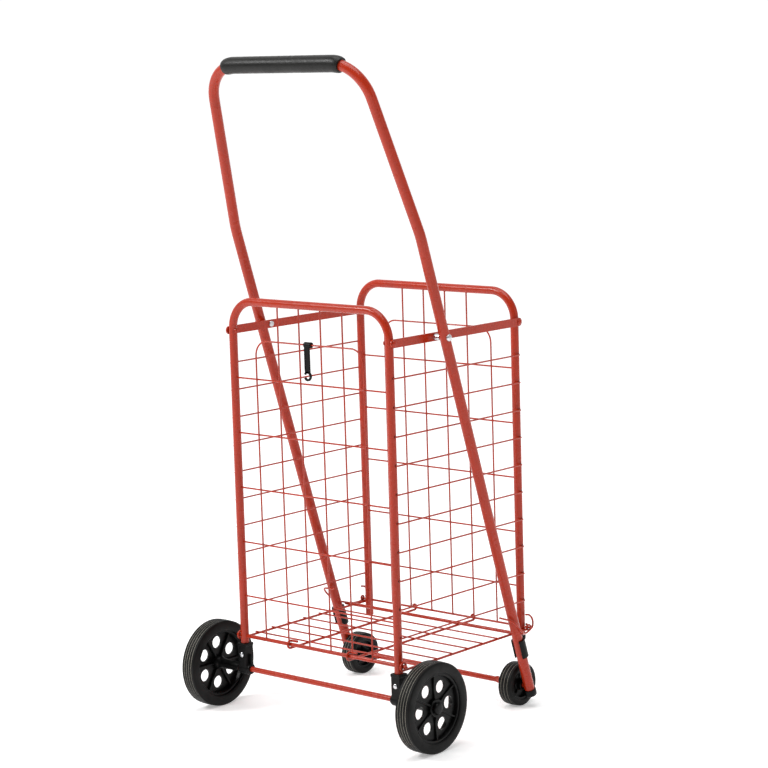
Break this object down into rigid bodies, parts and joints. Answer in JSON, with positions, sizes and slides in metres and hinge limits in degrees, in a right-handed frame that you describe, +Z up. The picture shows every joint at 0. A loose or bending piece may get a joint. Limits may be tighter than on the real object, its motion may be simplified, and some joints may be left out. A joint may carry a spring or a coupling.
{
  "type": "folding basket trolley",
  "caption": "Folding wire-basket trolley with a leaning push handle, large rear wheels and small front wheels; the front frame swings up and back to fold flat.",
  "frame": {"origin": "on the floor, under the middle of the bounding box", "axes": "+Z up, +Y forwards towards the small wheels, +X to the right of the user standing behind the handle"},
  "size_m": [0.442, 0.3496, 0.9484],
  "materials": {
    "red_paint": "glossy red powder coat",
    "black_plastic": "satin black moulding",
    "tyre": "matt black",
    "foam": "matt dark grey foam",
    "bright_steel": "bright zinc"
  },
  "bodies": {
    "rear_frame": {"rear_frame_tube": "red_paint", "rear_panel_grid": "red_paint", "rear_axle": "red_paint", "axle_bracket_left": "black_plastic", "bracket_rivet_left": "bright_steel", "rear_link_pin_left": "red_paint", "axle_bracket_right": "black_plastic", "bracket_rivet_right": "bright_steel", "rear_link_pin_right": "red_paint"},
    "top_links": {"top_link_left": "red_paint", "handle_pivot_left": "bright_steel", "top_link_right": "red_paint", "handle_pivot_right": "bright_steel"},
    "front_frame": {"front_frame_tube": "red_paint", "front_panel_grid": "red_paint", "foot_plug_left": "black_plastic", "front_link_pin_left": "red_paint", "foot_plug_right": "black_plastic", "front_link_pin_right": "red_paint"},
    "bottom_panel": {"bottom_panel_grid": "red_paint"},
    "handle": {"handle_tube": "red_paint", "handle_grip": "foam", "front_axle": "red_paint", "seat_clip_left": "black_plastic", "handle_end_cap_left": "black_plastic", "seat_clip_right": "black_plastic", "handle_end_cap_right": "black_plastic"},
    "side_wires_01": {"side_wire_left_01": "red_paint", "side_wire_right_01": "red_paint"},
    "side_wires_02": {"side_wire_left_02": "red_paint", "side_wire_right_02": "red_paint"},
    "side_wires_03": {"side_wire_left_03": "red_paint", "side_wire_right_03": "red_paint"},
    "side_wires_04": {"side_wire_left_04": "red_paint", "side_wire_right_04": "red_paint"},
    "side_wires_05": {"side_wire_left_05": "red_paint", "side_wire_right_05": "red_paint"},
    "side_wires_06": {"side_wire_left_06": "red_paint", "side_wire_right_06": "red_paint"},
    "side_wires_07": {"side_wire_left_07": "red_paint", "side_wire_right_07": "red_paint"},
    "side_wires_08": {"side_wire_left_08": "red_paint", "side_wire_right_08": "red_paint"},
    "side_wires_09": {"side_wire_left_09": "red_paint", "side_wire_right_09": "red_paint"},
    "side_wires_10": {"side_wire_left_10": "red_paint", "side_wire_right_10": "red_paint"},
    "rear_wheel_left": {"rear_tyre_left": "tyre", "rear_hub_left": "black_plastic", "rear_axle_cap_left": "black_plastic"},
    "front_wheel_left": {"front_tyre_left": "tyre", "front_hub_left": "black_plastic"},
    "lock_hook_left": {"lock_hook_left": "red_paint"},
    "rear_wheel_right": {"rear_tyre_right": "tyre", "rear_hub_right": "black_plastic", "rear_axle_cap_right": "black_plastic"},
    "front_wheel_right": {"front_tyre_right": "tyre", "front_hub_right": "black_plastic"},
    "lock_hook_right": {"lock_hook_right": "red_paint"},
    "storage_clip": {"storage_clip": "black_plastic"}
  },
  "joints": [
    {"name": "fold", "type": "hinge", "parent": "rear_frame", "child": "top_links", "pos_m": [0, -0.1113, 0.56], "axis": [1, 0, 0], "range_deg": [0, 68]},
    {"name": "front_fold", "type": "hinge", "parent": "top_links", "child": "front_frame", "pos_m": [0, 0.1607, 0.56], "axis": [1, 0, 0], "range_deg": [-68, 0]},
    {"name": "handle_fold", "type": "hinge", "parent": "top_links", "child": "handle", "pos_m": [0, -0.0263, 0.56], "axis": [1, 0, 0], "range_deg": [-82, 0]},
    {"name": "floor_fold", "type": "hinge", "parent": "rear_frame", "child": "bottom_panel", "pos_m": [0, -0.1113, 0.1125], "axis": [1, 0, 0], "range_deg": [0, 68]},
    {"name": "side_wires_01_fold", "type": "hinge", "parent": "rear_frame", "child": "side_wires_01", "pos_m": [0, -0.1113, 0.5125], "axis": [1, 0, 0], "range_deg": [0, 68]},
    {"name": "side_wires_02_fold", "type": "hinge", "parent": "rear_frame", "child": "side_wires_02", "pos_m": [0, -0.1113, 0.4725], "axis": [1, 0, 0], "range_deg": [0, 68]},
    {"name": "side_wires_03_fold", "type": "hinge", "parent": "rear_frame", "child": "side_wires_03", "pos_m": [0, -0.1113, 0.4325], "axis": [1, 0, 0], "range_deg": [0, 68]},
    {"name": "side_wires_04_fold", "type": "hinge", "parent": "rear_frame", "child": "side_wires_04", "pos_m": [0, -0.1113, 0.3925], "axis": [1, 0, 0], "range_deg": [0, 68]},
    {"name": "side_wires_05_fold", "type": "hinge", "parent": "rear_frame", "child": "side_wires_05", "pos_m": [0, -0.1113, 0.3525], "axis": [1, 0, 0], "range_deg": [0, 68]},
    {"name": "side_wires_06_fold", "type": "hinge", "parent": "rear_frame", "child": "side_wires_06", "pos_m": [0, -0.1113, 0.3125], "axis": [1, 0, 0], "range_deg": [0, 68]},
    {"name": "side_wires_07_fold", "type": "hinge", "parent": "rear_frame", "child": "side_wires_07", "pos_m": [0, -0.1113, 0.2725], "axis": [1, 0, 0], "range_deg": [0, 68]},
    {"name": "side_wires_08_fold", "type": "hinge", "parent": "rear_frame", "child": "side_wires_08", "pos_m": [0, -0.1113, 0.2325], "axis": [1, 0, 0], "range_deg": [0, 68]},
    {"name": "side_wires_09_fold", "type": "hinge", "parent": "rear_frame", "child": "side_wires_09", "pos_m": [0, -0.1113, 0.1925], "axis": [1, 0, 0], "range_deg": [0, 68]},
    {"name": "side_wires_10_fold", "type": "hinge", "parent": "rear_frame", "child": "side_wires_10", "pos_m": [0, -0.1113, 0.1525], "axis": [1, 0, 0], "range_deg": [0, 68]},
    {"name": "rear_wheel_left_spin", "type": "hinge", "parent": "rear_frame", "child": "rear_wheel_left", "pos_m": [-0.2093, -0.1113, 0.0635], "axis": [1, 0, 0], "continuous": true},
    {"name": "front_wheel_left_spin", "type": "hinge", "parent": "handle", "child": "front_wheel_left", "pos_m": [-0.1539, 0.14178, 0.03175], "axis": [1, 0, 0], "continuous": true},
    {"name": "lock_hook_left_swing", "type": "hinge", "parent": "front_frame", "child": "lock_hook_left", "pos_m": [-0.162, 0.1607, 0.1125], "axis": [1, 0, 0], "range_deg": [-100, 0]},
    {"name": "rear_wheel_right_spin", "type": "hinge", "parent": "rear_frame", "child": "rear_wheel_right", "pos_m": [0.2093, -0.1113, 0.0635], "axis": [1, 0, 0], "continuous": true},
    {"name": "front_wheel_right_spin", "type": "hinge", "parent": "handle", "child": "front_wheel_right", "pos_m": [0.1539, 0.14178, 0.03175], "axis": [1, 0, 0], "continuous": true},
    {"name": "lock_hook_right_swing", "type": "hinge", "parent": "front_frame", "child": "lock_hook_right", "pos_m": [0.162, 0.1607, 0.1125], "axis": [1, 0, 0], "range_deg": [-100, 0]},
    {"name": "storage_clip_swing", "type": "hinge", "parent": "rear_frame", "child": "storage_clip", "pos_m": [0, -0.1132, 0.5485], "axis": [1, 0, 0], "range_deg": [-110, 0]}
  ],
  "couplings": [
    {"joint": "front_fold", "follows": "fold", "ratio": -1},
    {"joint": "handle_fold", "follows": "fold", "ratio": -1.204},
    {"joint": "floor_fold", "follows": "fold", "ratio": 1},
    {"joint": "side_wires_01_fold", "follows": "fold", "ratio": 1},
    {"joint": "side_wires_02_fold", "follows": "fold", "ratio": 1},
    {"joint": "side_wires_03_fold", "follows": "fold", "ratio": 1},
    {"joint": "side_wires_04_fold", "follows": "fold", "ratio": 1},
    {"joint": "side_wires_05_fold", "follows": "fold", "ratio": 1},
    {"joint": "side_wires_06_fold", "follows": "fold", "ratio": 1},
    {"joint": "side_wires_07_fold", "follows": "fold", "ratio": 1},
    {"joint": "side_wires_08_fold", "follows": "fold", "ratio": 1},
    {"joint": "side_wires_09_fold", "follows": "fold", "ratio": 1},
    {"joint": "side_wires_10_fold", "follows": "fold", "ratio": 1}
  ]
}
